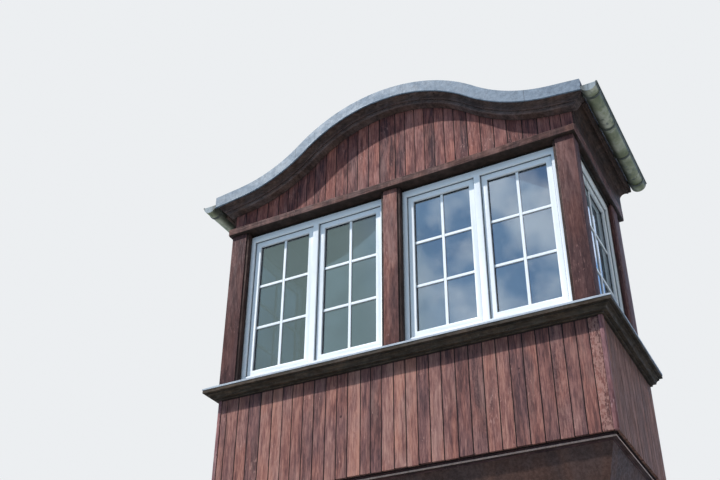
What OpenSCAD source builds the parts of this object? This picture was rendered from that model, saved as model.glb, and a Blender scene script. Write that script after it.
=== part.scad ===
// Timber bay window with a swan-neck roof, held by the wall behind it.
// The wall is the plane y = 0 and the bay stands out from it towards -y.
// The origin is in the middle of the floor deck's back edge, on the wall.

/* [Body] */
// Width over the boarded front
bay_w = 3500; // [3300:20:3700]
// Depth from the wall to the boarded front
bay_d = 1460; // [1360:20:1640]
// Thickness of the boarded walls
wall_t = 100; // [80:5:120]
// Height of the boarded apron under the sill
apron_h = 920; // [800:20:1040]
// Thickness of the floor deck
deck_h = 120; // [90:10:160]

/* [Base] */
// Height of the tapering skirt under the floor
skirt_h = 430; // [300:10:560]
// How far the skirt leans inwards over its height
skirt_lean = 133; // [60:1:180]
// Thickness of the skirt
skirt_t = 30; // [20:2:40]
// Thickness of the plate that closes the base
plate_t = 25; // [18:1:40]
// Height of the bearer ring under the walls
ring_h = 50; // [45:1:70]
// Inward reach of the bearer ring from the boarded face
ring_reach = 150; // [135:5:180]

/* [Sill] */
// Overhang of the sill cornice
sill_out = 112; // [104:1:130]
// Height of the sill cornice at the posts
sill_h = 136; // [128:1:150]
// Fall of the sill's top towards its front edge
sill_fall = 41; // [34:1:46]
// Thickness of the sill's metal cover
cover_t = 4; // [3:0.5:5]
// Turned-down edge of the metal cover
cover_drop = 11; // [8:1:14]

/* [Posts] */
// Width of each square post
post_w = 162; // [150:2:180]
// Width of the post between the two front windows
centre_w = 140; // [120:2:180]
// How far the posts stand out in front of the boarded face
post_proud = 44; // [30:1:54]
// Setback of the corner and wall posts from the boarded sides
post_back = 12; // [6:1:20]
// Width of the stop strips beside the posts, in front of the window frames
stop_w = 25; // [12:1:30]
// Setback of the front stop strips from the posts' faces
stop_set = 12; // [8:1:24]
// Distance of the side windows from the wall
pier_d = 320; // [290:5:370]

/* [Windows] */
// Height of the window frames
win_h = 1576; // [1446:10:1706]
// Visible width of the frame members
frame_w = 62; // [54:1:72]
// Depth of the frame members
frame_d = 70; // [64:1:74]
// Visible width of the mullion between two sashes
mullion_w = 57; // [50:1:80]
// Greatest width of a window that has only one sash
one_sash_w = 1250; // [1100:10:1380]
// Visible width of the sash members
sash_w = 58; // [50:1:66]
// Depth of the sash members
sash_d = 64; // [62:1:68]
// Setback of the front window frames from the boarded face
frame_set = 25; // [20:1:34]
// Setback of the side window frames from the boarded sides
side_set = 54; // [48:1:60]
// Thickness of the frame's front lip, which the sash shuts against
lip_t = 24; // [20:1:28]
// Lap of the lip over the sash
lip_lap = 8; // [6:1:12]
// Thickness of the sealed panes
pane_t = 24; // [20:1:28]
// Setback of the pane in its sash
pane_set = 26; // [22:1:30]
// Depth of a pane's edge in its groove
pane_lap = 12; // [8:1:16]

/* [Header] */
// Height of the beam that shows under the header moulding
beam_show = 22; // [12:1:30]
// Height of the header moulding at the boarded face
header_h = 116; // [108:1:128]
// Overhang of the header moulding in front of the boarded face
header_out = 80; // [70:1:90]
// Overhang of the header moulding at the boarded sides
header_end = 14; // [14:1:24]
// Setback of the beam from the boarded face
beam_set = 38; // [34:1:44]

/* [Roof] */
// Radius of the convex crown
crown_r = 1450; // [1350:10:1500]
// Radius of the concave necks
neck_r = 1300; // [1200:10:1360]
// Slope where the crown meets a neck, in degrees
neck_angle = 40; // [38:0.5:41]
// Slope of the straight tails, in degrees
tail_angle = 6.5; // [5:0.5:8.5]
// Overhang of the roof's edge beyond the boarded sides
roof_out = 140; // [136:1:170]
// Height of the roof's lower edge over the header moulding
eave_rise = 329; // [306:1:366]
// Overhang of the verge in front of the boarded face
verge_reach = 180; // [172:1:220]
// Height of the zinc verge
verge_h = 118; // [100:1:126]
// Thickness of the zinc verge
verge_t = 14; // [10:1:16]
// Radius of the roll at the foot of the zinc verge
roll_r = 8; // [6:0.5:9]
// Thickness of the zinc roof covering
zinc_t = 6; // [4:0.5:8]
// Thickness of the roof's boards
roof_t = 30; // [24:1:36]

/* [Gable] */
// Thickness of the boarded gable and the side friezes
gable_t = 60; // [50:1:80]
// Drop of the curved fascia below the roof's top line
fascia_drop = 190; // [180:1:210]
// Overhang of the curved fascia's lower edge
fascia_out = 86; // [78:1:92]
// Overhang of the moulded eaves board at the sides
eaves_out = 130; // [112:1:135]
// Depth of the moulded eaves board
eaves_h = 150; // [130:1:170]

/* [Gutters] */
// Outer radius of the half-round gutters
gutter_r = 72; // [60:1:80]
// Thickness of the gutter sheet
gutter_t = 3; // [2:0.5:4]
// Radius of the rolled outer bead
bead_r = 9; // [7:0.5:11]
// Drop of the gutter's rim below the roof's edge
gutter_drop = 86; // [74:1:100]
// Number of brackets on each gutter
bracket_count = 4; // [3:1:5]
// Width of each bracket strap
bracket_w = 25; // [20:1:35]
// Thickness of each bracket strap
bracket_t = 5; // [4:0.5:7]

/* [Hidden] */
$fn = 96;

half_w = bay_w / 2;
roof_half = half_w + roof_out;
// clearance between a window frame and what stands beside it
joint = 2;
// clearance between a sash and the frame round it
sash_gap = 2;
// clearance between curved faces that lie on each other
skin_gap = 0.3;

// heights, from the bottom up
boards_z = -deck_h / 2;
skirt_z = boards_z - ring_h;
sill_z = boards_z + apron_h;
sill_top = sill_z + sill_h;
head_z = sill_top + win_h + joint;
mould_z = head_z + beam_show;
header_top = mould_z + header_h;
eave_z = header_top + eave_rise;

// the swan-neck line: where the crown, a neck and a tail begin and end
neck_x = crown_r * sin(neck_angle);
tail_x = neck_x + neck_r * (sin(neck_angle) - sin(tail_angle));
tail_len = (roof_half - tail_x) / cos(tail_angle);
tail_z = eave_z + tail_len * sin(tail_angle);
neck_z = tail_z + neck_r * (cos(tail_angle) - cos(neck_angle));
crown_c = neck_z - crown_r * cos(neck_angle);
neck_cx = tail_x + neck_r * sin(tail_angle);
neck_cz = tail_z + neck_r * cos(tail_angle);

// depths below the roof's top line
cap_t = 8;
deck_drop = cap_t + zinc_t;
under_drop = deck_drop + roof_t;

// windows: they stand between the posts, and the stop strips cover their frames' edges
post_in = half_w - post_back - post_w;
beam_in = post_back + post_w;
front_x = centre_w / 2 + joint;
front_w = post_in - joint - front_x;
side_y = bay_d + post_proud - post_w - joint;
side_w = side_y - pier_d - joint;

// colours
board_colour = [0.45, 0.25, 0.22];
moulding_colour = [0.19, 0.14, 0.12];
zinc_colour = [0.55, 0.60, 0.66];
frame_colour = [0.93, 0.94, 0.95];
glass_colour = [0.45, 0.55, 0.62, 0.5];

// Mitred runs round the three sides.
// A profile is drawn with x outwards from the boarded face and y upwards.

module front_wedge(inset, reach, low, high) {
    translate([0, 0, low])
        linear_extrude(high - low)
            polygon([
                [-half_w - reach, -bay_d - reach],
                [half_w + reach, -bay_d - reach],
                [half_w - inset, -bay_d + inset],
                [-half_w + inset, -bay_d + inset]
            ]);
}

module side_wedge(inset, reach, low, high) {
    translate([0, 0, low])
        linear_extrude(high - low)
            polygon([
                [half_w - inset, 0],
                [half_w - inset, -bay_d + inset],
                [half_w + reach, -bay_d - reach],
                [half_w + reach, 0]
            ]);
}

module side_run(inset, reach, low, high) {
    intersection() {
        translate([half_w, 0, 0])
            rotate([90, 0, 0])
                linear_extrude(bay_d + reach)
                    children();
        side_wedge(inset, reach, low, high);
    }
}

module three_sides(inset, reach, low, high) {
    intersection() {
        translate([-half_w - reach, -bay_d, 0])
            mirror([0, 1, 0])
                rotate([90, 0, 90])
                    linear_extrude(bay_w + 2 * reach)
                        children();
        front_wedge(inset, reach, low, high);
    }
    side_run(inset, reach, low, high) children();
    mirror([1, 0, 0])
        side_run(inset, reach, low, high)
            children();
}

// Sweep along the swan-neck line.
// A profile is drawn with x outwards from the gable's face and y upwards from the roof's top line.

module crown_arc() {
    translate([0, -bay_d, crown_c])
        rotate([90, 0, 0])
            rotate([0, 0, 90 - neck_angle])
                rotate_extrude(angle = 2 * neck_angle)
                    translate([crown_r, 0])
                        mirror([1, -1, 0])
                            children();
}

// turns and moves to the place where a neck meets its tail
module at_tail() {
    translate([tail_x, -bay_d, tail_z])
        rotate([0, tail_angle, 0])
            children();
}

module neck_arc() {
    mirror([1, 0, 0])
        translate([0, 0, neck_r])
            rotate([90, 0, 0])
                rotate([0, 0, 270])
                    rotate_extrude(angle = neck_angle - tail_angle)
                        translate([neck_r, 0])
                            rotate([0, 0, 90])
                                children();
}

module tail_run(length) {
    rotate([90, 0, 90])
        linear_extrude(length)
            mirror([1, 0, 0])
                children();
}

// a neck with its tail, which ends upright at half_span from the middle
module side_sweep(half_span) {
    spare = 60;
    at_tail()
        neck_arc()
            children();
    intersection() {
        at_tail()
            tail_run(tail_len + spare)
                children();
        translate([0, -bay_d - 2 * verge_reach, header_top])
            cube([half_span, bay_d + 2 * verge_reach, crown_c]);
    }
}

// height of the roof's top line over a place on a straight tail, and of the roof boards' underside there
function tail_height(x) = eave_z + (roof_half - x) * tan(tail_angle);
function under_height(x) = tail_height(x) - under_drop / cos(tail_angle);

// points of the swan-neck line at a depth below the top line, from the middle to the tail on the right
crown_steps = 32;
neck_steps = 24;
function crown_points(drop) = [
    for (i = [0 : crown_steps])
        let (a = neck_angle * i / crown_steps)
            [(crown_r - drop) * sin(a), crown_c + (crown_r - drop) * cos(a)]
];
function neck_points(drop) = [
    for (i = [1 : neck_steps])
        let (a = neck_angle + (tail_angle - neck_angle) * i / neck_steps)
            [neck_cx - (neck_r + drop) * sin(a), neck_cz - (neck_r + drop) * cos(a)]
];
function half_line(drop, end) = concat(
    crown_points(drop),
    neck_points(drop),
    [[end, tail_height(end) - drop / cos(tail_angle)]]
);
function reversed(points) = [for (i = [len(points) - 1 : -1 : 0]) points[i]];
function mirrored(points) = [for (i = [len(points) - 1 : -1 : 1]) [-points[i][0], points[i][1]]];
function whole_line(drop, end) = concat(mirrored(half_line(drop, end)), half_line(drop, end));

// a sheet of one thickness that follows the line, from the wall to a distance from it
module swan_sheet(drop, thickness, end, length) {
    rotate([90, 0, 0])
        linear_extrude(length)
            polygon(concat(
                whole_line(drop, end),
                reversed(whole_line(drop + thickness, end))
            ));
}

// Base

module base_plate() {
    inset = ring_reach / 2 + skirt_lean;
    color(moulding_colour)
        translate([-half_w + inset, -bay_d + inset, skirt_z - skirt_h - plate_t])
            cube([bay_w - 2 * inset, bay_d - inset, plate_t]);
}

module base_skirt() {
    set = 62;
    color(moulding_colour)
        three_sides(set + skirt_lean + skirt_t, 0, skirt_z - skirt_h, skirt_z)
            polygon([
                [-set, skirt_z],
                [-set - skirt_lean, skirt_z - skirt_h],
                [-set - skirt_lean - skirt_t, skirt_z - skirt_h],
                [-set - skirt_t, skirt_z]
            ]);
}

module base_ring() {
    lip_in = 58;
    lip_out = 26;
    lip_low = 38;
    lip_high = 22;
    rest_in = 40;
    color(moulding_colour)
        three_sides(ring_reach, 0, skirt_z, boards_z)
            polygon([
                [-ring_reach, skirt_z],
                [-lip_in, skirt_z],
                [-lip_in, boards_z - lip_low],
                [-lip_out, boards_z - lip_low],
                [-lip_out, boards_z - lip_high],
                [-rest_in, boards_z - lip_high],
                [-rest_in, boards_z],
                [-ring_reach, boards_z]
            ]);
}

module floor_deck() {
    color(moulding_colour)
        translate([-half_w + wall_t, -bay_d + wall_t, boards_z])
            cube([bay_w - 2 * wall_t, bay_d - wall_t, deck_h]);
}

// Apron and sill

module apron_front() {
    color(board_colour)
        translate([-half_w, -bay_d, boards_z])
            cube([bay_w, wall_t, apron_h]);
}

module apron_right() {
    color(board_colour)
        translate([half_w - wall_t, -bay_d + wall_t, boards_z])
            cube([wall_t, bay_d - wall_t, apron_h]);
}

module sill_profile() {
    foot_out = 20;
    foot_h = 14;
    cove_r = 30;
    nose_out = sill_out - 30;
    nose_h = 44;
    lip_low = 56;
    difference() {
        polygon([
            [-beam_in, 0],
            [foot_out, 0],
            [foot_out, foot_h],
            [nose_out, foot_h],
            [nose_out, lip_low],
            [sill_out, lip_low],
            [sill_out, sill_h - sill_fall],
            [post_proud + 4, sill_h],
            [-beam_in, sill_h]
        ]);
        translate([nose_out, foot_h])
            circle(cove_r);
        translate([foot_out + cove_r, foot_h - cove_r])
            square([nose_out, cove_r]);
    }
}

module sill_cornice() {
    color(moulding_colour)
        three_sides(beam_in, sill_out, sill_z, sill_top)
            translate([0, sill_z])
                sill_profile();
}

// the cover lies flat from the window frames to the posts' faces, where it begins to fall
module cover_profile() {
    inner = joint - side_set;
    bend = post_proud + 4;
    edge = sill_h - sill_fall;
    rise = sill_fall / (sill_out - bend);
    polygon([
        [inner, sill_h],
        [bend, sill_h],
        [sill_out, edge],
        [sill_out, edge - cover_drop],
        [sill_out + cover_t, edge - cover_drop],
        [sill_out + cover_t, edge + cover_t - rise * cover_t],
        [bend, sill_h + cover_t],
        [inner, sill_h + cover_t]
    ]);
}

module sill_cover() {
    color(zinc_colour)
        difference() {
            three_sides(side_set - joint, sill_out + cover_t, sill_z, sill_top + cover_t)
                translate([0, sill_z])
                    cover_profile();
            standing(sill_top - 1, sill_top + cover_t + 1) {
                translate([-post_in, -bay_d + frame_set - joint])
                    square([2 * post_in, side_set]);
                centre_plan();
                corner_plan();
                wall_post_plan();
                on_left() {
                    corner_plan();
                    wall_post_plan();
                }
            }
        }
}

// Posts

// a stop strip on the front, from x to x + stop_w
module front_stop(x) {
    translate([x, -bay_d - post_proud + stop_set])
        square([stop_w, post_proud - stop_set + frame_set - joint]);
}

// a stop strip on the right side, from y to y + stop_w
module side_stop(y) {
    set = post_back + stop_set / 2;
    translate([half_w - side_set + joint, y])
        square([side_set - joint - set, stop_w]);
}

module corner_plan() {
    translate([post_in, -bay_d - post_proud])
        square(post_w);
    front_stop(post_in - stop_w);
    side_stop(-bay_d - post_proud + post_w);
}

module centre_plan() {
    translate([-centre_w / 2, -bay_d - post_proud])
        square([centre_w, post_w]);
    front_stop(centre_w / 2);
    front_stop(-centre_w / 2 - stop_w);
}

module before_beam() {
    difference() {
        translate([-bay_w, -2 * bay_d])
            square([2 * bay_w, 2 * bay_d]);
        translate([-half_w + beam_set, -bay_d + beam_set])
            square([bay_w - 2 * beam_set, bay_d]);
    }
}

module standing(low, high) {
    translate([0, 0, low])
        linear_extrude(high - low)
            children();
}

// the post fills the height up to the beam, and its outer part runs on up to the header moulding
module post_under_beam() {
    standing(sill_top, head_z)
        children();
    standing(head_z, mould_z)
        intersection() {
            children();
            before_beam();
        }
}

module corner_post_right() {
    color(board_colour)
        post_under_beam()
            corner_plan();
}

module centre_post() {
    color(board_colour)
        post_under_beam()
            centre_plan();
}

module wall_post_plan() {
    fill_set = 20;
    translate([post_in, -pier_d])
        square(post_w);
    translate([post_in, -pier_d + post_w])
        square([post_w - fill_set, pier_d - post_w]);
    side_stop(-pier_d - stop_w);
}

module wall_post_right() {
    color(board_colour)
        post_under_beam()
            wall_post_plan();
}

// Windows, drawn in the plane of a wall: x along the wall, y into the room, z up.
// The place is a frame's outer corner and its face is y = 0.

module ring(width, height, member, depth) {
    difference() {
        cube([width, depth, height]);
        translate([member, -1, member])
            cube([width - 2 * member, depth + 2, height - 2 * member]);
    }
}

function sash_count(width) = width > one_sash_w ? 2 : 1;
function opening_w(width) =
    (width - 2 * frame_w - (sash_count(width) - 1) * mullion_w) / sash_count(width);

module each_opening(width) {
    for (i = [0 : sash_count(width) - 1])
        translate([frame_w + i * (opening_w(width) + mullion_w), 0, frame_w])
            children();
}

module window_frame(width) {
    difference() {
        cube([width, frame_d, win_h]);
        each_opening(width) {
            translate([0, -1, 0])
                cube([opening_w(width), frame_d + 2, win_h - 2 * frame_w]);
            translate([-lip_lap, lip_t, -lip_lap])
                cube([opening_w(width) + 2 * lip_lap, frame_d, win_h - 2 * frame_w + 2 * lip_lap]);
        }
    }
}

module sash(width, height) {
    reach = lip_lap - sash_gap;
    glass_w = width - 2 * sash_w;
    glass_h = height - 2 * sash_w;
    difference() {
        translate([-reach, lip_t, -reach])
            ring(width + 2 * reach, height + 2 * reach, sash_w + reach, sash_d);
        translate([sash_w - pane_lap, lip_t + pane_set, sash_w - pane_lap])
            cube([glass_w + 2 * pane_lap, pane_t, glass_h + 2 * pane_lap]);
    }
}

module pane(width, height) {
    edge = sash_w - pane_lap;
    translate([edge, lip_t + pane_set, edge])
        cube([width - 2 * edge, pane_t, height - 2 * edge]);
}

module window_sashes(width) {
    each_opening(width)
        sash(opening_w(width), win_h - 2 * frame_w);
}

module window_panes(width) {
    each_opening(width)
        pane(opening_w(width), win_h - 2 * frame_w);
}

module in_front_right() {
    translate([front_x, -bay_d + frame_set, sill_top])
        children();
}

module in_side_right() {
    translate([half_w - side_set, -side_y, sill_top])
        rotate([0, 0, 90])
            children();
}

module on_left() {
    mirror([1, 0, 0])
        children();
}

module front_right_frame() {
    color(frame_colour)
        in_front_right()
            window_frame(front_w);
}

module front_right_sashes() {
    color(frame_colour)
        in_front_right()
            window_sashes(front_w);
}

module front_right_panes() {
    color(glass_colour)
        in_front_right()
            window_panes(front_w);
}

module side_right_frame() {
    color(frame_colour)
        in_side_right()
            window_frame(side_w);
}

module side_right_sash() {
    color(frame_colour)
        in_side_right()
            window_sashes(side_w);
}

module side_right_pane() {
    color(glass_colour)
        in_side_right()
            window_panes(side_w);
}

// Header

module header_beam() {
    color(moulding_colour)
        three_sides(beam_in, 0, head_z, header_top)
            polygon([
                [-beam_in, head_z],
                [-beam_set, head_z],
                [-beam_set, header_top],
                [-beam_in, header_top]
            ]);
}

module header_profile(out) {
    chamfer = 8;
    flat = 12;
    fall = 0.65;
    polygon([
        [-beam_set, mould_z],
        [out - chamfer, mould_z],
        [out, mould_z + chamfer],
        [out, header_top - fall * (out - flat)],
        [flat, header_top],
        [-beam_set, header_top]
    ]);
}

module header_side() {
    translate([half_w, 0, 0])
        rotate([90, 0, 0])
            linear_extrude(bay_d)
                header_profile(header_end);
}

// the front run reaches from side to side, and the side runs meet its back
module header_moulding() {
    color(board_colour) {
        translate([-half_w - header_end, -bay_d, 0])
            mirror([0, 1, 0])
                rotate([90, 0, 90])
                    linear_extrude(bay_w + 2 * header_end)
                        header_profile(header_out);
        header_side();
        on_left()
            header_side();
    }
}

// Gable

module gable_panel() {
    color(board_colour)
        translate([0, -bay_d + gable_t, 0])
            rotate([90, 0, 0])
                linear_extrude(gable_t)
                    polygon(concat(
                        [[-half_w, header_top]],
                        whole_line(under_drop, half_w),
                        [[half_w, header_top]]
                    ));
}

module fascia_profile() {
    upper_out = 150;
    upper_drop = 92;
    cove_r = 30;
    step_out = fascia_out + 16;
    step_drop = 156;
    bead = 7;
    difference() {
        polygon([
            [0, -under_drop - skin_gap],
            [upper_out, -under_drop - skin_gap],
            [upper_out, -upper_drop],
            [step_out + cove_r, -upper_drop],
            [step_out + cove_r, -upper_drop - cove_r],
            [step_out, -upper_drop - cove_r],
            [step_out, -step_drop],
            [fascia_out, -step_drop],
            [fascia_out, -fascia_drop + bead],
            [fascia_out - bead, -fascia_drop],
            [0, -fascia_drop]
        ]);
        translate([step_out + cove_r, -upper_drop - cove_r])
            circle(cove_r);
    }
}

module fascia_crown() {
    color(moulding_colour)
        crown_arc()
            fascia_profile();
}

// under the end of the verge the fascia slants back towards the side eaves
module fascia_slant() {
    foot_out = 25;
    upper_drop = 92;
    clear = 10;
    translate([half_w, -bay_d + clear, 0])
        rotate([90, 0, 0])
            linear_extrude(verge_reach)
                polygon([
                    [foot_out, eave_z - fascia_drop - clear],
                    [eaves_out + clear, eave_z - fascia_drop - clear],
                    [eaves_out + clear, eave_z - upper_drop],
                    [eaves_out, eave_z - upper_drop]
                ]);
}

module fascia_right() {
    color(moulding_colour)
        difference() {
            side_sweep(half_w + eaves_out)
                fascia_profile();
            fascia_slant();
        }
}

module verge_profile() {
    cap_in = 70;
    roll_in = 3;
    translate([verge_reach - verge_t, -verge_h])
        square([verge_t, verge_h]);
    translate([verge_reach - cap_in, -cap_t])
        square([cap_in, cap_t - skin_gap]);
    translate([verge_reach - roll_in, -verge_h])
        circle(roll_r);
}

module verge_crown() {
    color(zinc_colour)
        crown_arc()
            verge_profile();
}

module verge_right() {
    color(zinc_colour)
        side_sweep(roof_half)
            verge_profile();
}

module frieze_right() {
    inner = half_w - gable_t;
    color(board_colour)
        rotate([90, 0, 0])
            linear_extrude(bay_d - gable_t)
                polygon([
                    [inner, header_top],
                    [half_w, header_top],
                    [half_w, under_height(half_w)],
                    [inner, under_height(inner)]
                ]);
}

module eaves_profile() {
    foot_out = 12;
    cove_r = 54;
    top = under_height(half_w + eaves_out);
    low = top - eaves_h + cove_r;
    difference() {
        polygon([
            [0, header_top],
            [foot_out, header_top],
            [foot_out, low - cove_r],
            [eaves_out - cove_r, low - cove_r],
            [eaves_out - cove_r / 2, low],
            [eaves_out, low],
            [eaves_out, top],
            [0, under_height(half_w)]
        ]);
        translate([foot_out + cove_r, low - cove_r])
            circle(cove_r);
        translate([foot_out + cove_r, low - 2 * cove_r])
            square([eaves_out, cove_r]);
    }
}

module eaves_mould_right() {
    color(moulding_colour)
        translate([half_w, 0, 0])
            rotate([90, 0, 0])
                linear_extrude(bay_d)
                    eaves_profile();
}

// Roof

module roof_deck() {
    color(moulding_colour)
        swan_sheet(deck_drop, roof_t, roof_half, bay_d + verge_reach - verge_t);
}

module roof_zinc() {
    color(zinc_colour)
        swan_sheet(cap_t, zinc_t, roof_half, bay_d + verge_reach - verge_t);
}

// Gutters, drawn in section with x outwards from the gutter's middle and y up from its rim

gutter_x = half_w + eaves_out + bracket_t + skin_gap + gutter_r;
gutter_z = eave_z - gutter_drop;
gutter_len = bay_d + verge_reach;

module below_rim(r) {
    intersection() {
        circle(r);
        translate([-r, -r])
            square([2 * r, r]);
    }
}

module gutter_right() {
    color(zinc_colour)
        translate([gutter_x, 0, gutter_z])
            rotate([90, 0, 0]) {
                linear_extrude(gutter_len)
                    difference() {
                        below_rim(gutter_r);
                        circle(gutter_r - gutter_t);
                    }
                for (z = [0, gutter_len - gutter_t])
                    translate([0, 0, z])
                        linear_extrude(gutter_t)
                            below_rim(gutter_r);
                translate([gutter_r, 0, 0])
                    cylinder(r = bead_r, h = gutter_len);
            }
}

module bracket() {
    inner = gutter_r + skin_gap;
    plate_low = gutter_r / 2;
    plate_high = under_height(half_w + eaves_out + bracket_t) - gutter_z - skin_gap;
    rotate([90, 0, 0])
        linear_extrude(bracket_w, center = true)
            difference() {
                union() {
                    below_rim(inner + bracket_t);
                    translate([-inner - bracket_t, -plate_low])
                        square([bracket_t, plate_low + plate_high]);
                }
                circle(inner);
                translate([gutter_r - bead_r - skin_gap, -2 * bead_r])
                    square(4 * bead_r);
            }
}

module gutter_brackets_right() {
    end_in = 110;
    pitch = (gutter_len - 2 * end_in) / (bracket_count - 1);
    color(zinc_colour)
        for (i = [0 : bracket_count - 1])
            translate([gutter_x, -end_in - i * pitch, gutter_z])
                bracket();
}

base_plate();
base_skirt();
base_ring();
floor_deck();
apron_front();
on_left() apron_right();  // apron_left
apron_right();
sill_cornice();
sill_cover();
on_left() corner_post_right();  // corner_post_left
corner_post_right();
centre_post();
on_left() wall_post_right();  // wall_post_left
wall_post_right();
on_left() front_right_frame();  // front_left_frame
on_left() front_right_sashes();  // front_left_sashes
on_left() front_right_panes();  // front_left_panes
front_right_frame();
front_right_sashes();
front_right_panes();
on_left() side_right_frame();  // side_left_frame
on_left() side_right_sash();  // side_left_sash
on_left() side_right_pane();  // side_left_pane
side_right_frame();
side_right_sash();
side_right_pane();
header_beam();
header_moulding();
gable_panel();
fascia_crown();
on_left() fascia_right();  // fascia_left
fascia_right();
verge_crown();
on_left() verge_right();  // verge_left
verge_right();
on_left() frieze_right();  // frieze_left
frieze_right();
on_left() eaves_mould_right();  // eaves_mould_left
eaves_mould_right();
roof_deck();
roof_zinc();
on_left() gutter_right();  // gutter_left
gutter_right();
on_left() gutter_brackets_right();  // gutter_brackets_left
gutter_brackets_right();
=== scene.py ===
# %% [markdown]
# # A timber bay window, dressed
# The CAD part already has every main form: apron, posts, window frames, moulded sill, swan-neck
# fascia and zinc roof. Blender adds what a joiner and the weather add: single boards, glazing bars,
# seals, grain, stain and patina.
# Everything is in metres. The bay's open back lies in the plane y = 0, and it stands out to -y.

# %% Load the part
import bmesh
import bpy
import math
import random
from mathutils import Matrix, Vector


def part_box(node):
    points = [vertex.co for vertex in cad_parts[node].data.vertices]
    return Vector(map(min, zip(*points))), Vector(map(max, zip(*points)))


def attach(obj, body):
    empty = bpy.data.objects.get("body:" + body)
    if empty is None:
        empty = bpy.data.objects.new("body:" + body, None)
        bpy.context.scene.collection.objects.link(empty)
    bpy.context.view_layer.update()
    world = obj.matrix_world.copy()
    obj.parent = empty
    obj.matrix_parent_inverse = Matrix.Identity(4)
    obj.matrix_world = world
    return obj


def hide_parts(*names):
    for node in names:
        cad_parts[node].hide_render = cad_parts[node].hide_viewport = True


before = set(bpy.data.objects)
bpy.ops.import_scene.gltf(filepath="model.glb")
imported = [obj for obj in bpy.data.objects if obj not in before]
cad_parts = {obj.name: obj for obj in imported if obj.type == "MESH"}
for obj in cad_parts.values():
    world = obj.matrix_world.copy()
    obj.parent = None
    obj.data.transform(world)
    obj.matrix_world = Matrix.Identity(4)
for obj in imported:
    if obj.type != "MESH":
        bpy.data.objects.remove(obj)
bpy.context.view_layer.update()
print("CAD nodes:", len(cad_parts))

# %% [markdown]
# ## Camera and light
# The photograph looks up at the bay from the right. The camera below stands where a fit of the
# bay's own corners puts it. Turning it by eye would be quicker, but then no edge of the render
# could be laid on its own in the photograph.

# %% Camera
CAMERA_AT = Vector((3.217, -8.004, -2.75))
YAW, PITCH, ROLL = 0.4967, 0.5834, 0.0091
LENS, SENSOR = 48.86, 36
FAR_CLIP = 200

ahead = Vector((-math.sin(YAW) * math.cos(PITCH), math.cos(YAW) * math.cos(PITCH), math.sin(PITCH)))
level = Vector((math.cos(YAW), math.sin(YAW), 0))
above = level.cross(ahead)
right = math.cos(ROLL) * level + math.sin(ROLL) * above
up = -math.sin(ROLL) * level + math.cos(ROLL) * above
turned = Matrix((right, up, -ahead)).transposed().to_4x4()

camera = bpy.data.objects.new("camera", bpy.data.cameras.new("camera"))
bpy.context.scene.collection.objects.link(camera)
camera.data.sensor_width = SENSOR
camera.data.lens = LENS
camera.data.clip_end = FAR_CLIP
camera.matrix_world = Matrix.Translation(CAMERA_AT) @ turned
bpy.context.scene.camera = camera
bpy.context.scene.view_settings.view_transform = "Standard"
print("lens", camera.data.lens, "mm")

# %% [markdown]
# A key light from the front left, rather high, draws the same shadows as in the photograph: one
# curve under the roof, one line under the sill. An area lamp would soften both, so the key is a
# sun lamp, whose rays are parallel.

# %% Key light
KEY_FROM = Vector((-1.0, -1.0, 1.66))
KEY_STRENGTH = 4.2
KEY_SPREAD = 1.5
KEY_COLOUR = (1.0, 0.985, 0.96)

key = bpy.data.objects.new("key", bpy.data.lights.new("key", "SUN"))
bpy.context.scene.collection.objects.link(key)
key.data.energy = KEY_STRENGTH
key.data.angle = math.radians(KEY_SPREAD)
key.data.color = KEY_COLOUR
key.rotation_mode = "QUATERNION"
key.rotation_quaternion = (-KEY_FROM).to_track_quat("-Z", "Y")
print("key", KEY_STRENGTH)

# %% [markdown]
# ## Helpers for nodes
# The world and every finish are node trees. In a script each node, value and link takes a line, so
# small functions keep a recipe short. Most of them add one node and give back the socket that the
# next node needs.


# %% Node helpers
def fill(made, **sockets):
    """Links or sets a node's inputs, which are given by name, or by number as _0, _1 and so on."""
    for label, value in sockets.items():
        socket = made.inputs[int(label[1:])] if label[1:].isdigit() else made.inputs[label]
        if isinstance(value, bpy.types.NodeSocket):
            made.id_data.links.new(value, socket)
        else:
            socket.default_value = value
    return made


def node(kind, settings=None, tree=None, **sockets):
    """A new node in the given tree, or else in the tree of the first value that it is linked to."""
    if tree is None:
        tree = next(v.id_data for v in sockets.values() if isinstance(v, bpy.types.NodeSocket))
    made = tree.nodes.new("ShaderNode" + kind)
    for label, value in (settings or {}).items():
        setattr(made, label, value)
    return fill(made, **sockets)


def math_of(operation, *values):
    sockets = {f"_{index}": value for index, value in enumerate(values)}
    return node("Math", {"operation": operation}, **sockets).outputs[0]


def product(first, second):
    return math_of("MULTIPLY", first, second)


def fade(value, start, end, low=0.0, high=1.0):
    """Low until the value reaches start, high from end on, and a smooth step between them."""
    sockets = {"Value": value, "From Min": start, "From Max": end, "To Min": low, "To Max": high}
    return node("MapRange", {"interpolation_type": "SMOOTHSTEP"}, **sockets).outputs["Result"]


def axis_of(vector, axis):
    return node("SeparateXYZ", _0=vector).outputs[axis]


def scaled(vector, factors):
    return node("VectorMath", {"operation": "MULTIPLY"}, _0=vector, _1=factors).outputs[0]


def shifted(vector, offset):
    return node("VectorMath", {"operation": "ADD"}, _0=vector, _1=offset).outputs[0]


def noise(vector, scale, detail=4.0, roughness=0.55, distortion=0.0):
    return node("TexNoise", Vector=vector, Scale=scale, Detail=detail, Roughness=roughness,
                Distortion=distortion).outputs["Fac"]


def ramp(value, *stops):
    """A colour ramp through (position, colour) pairs. It starts with two stops of its own."""
    made = node("ValToRGB", Fac=value)
    for index, (at, colour) in enumerate(stops):
        if index < 2:
            stop = made.color_ramp.elements[index]
            stop.position = at
        else:
            stop = made.color_ramp.elements.new(at)
        stop.color = (*colour, 1)
    return made.outputs["Color"]


def mix_colour(amount, first, second, blend="MIX"):
    settings = {"data_type": "RGBA", "blend_type": blend}
    return node("Mix", settings, _0=amount, _6=first, _7=second).outputs[2]


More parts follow.
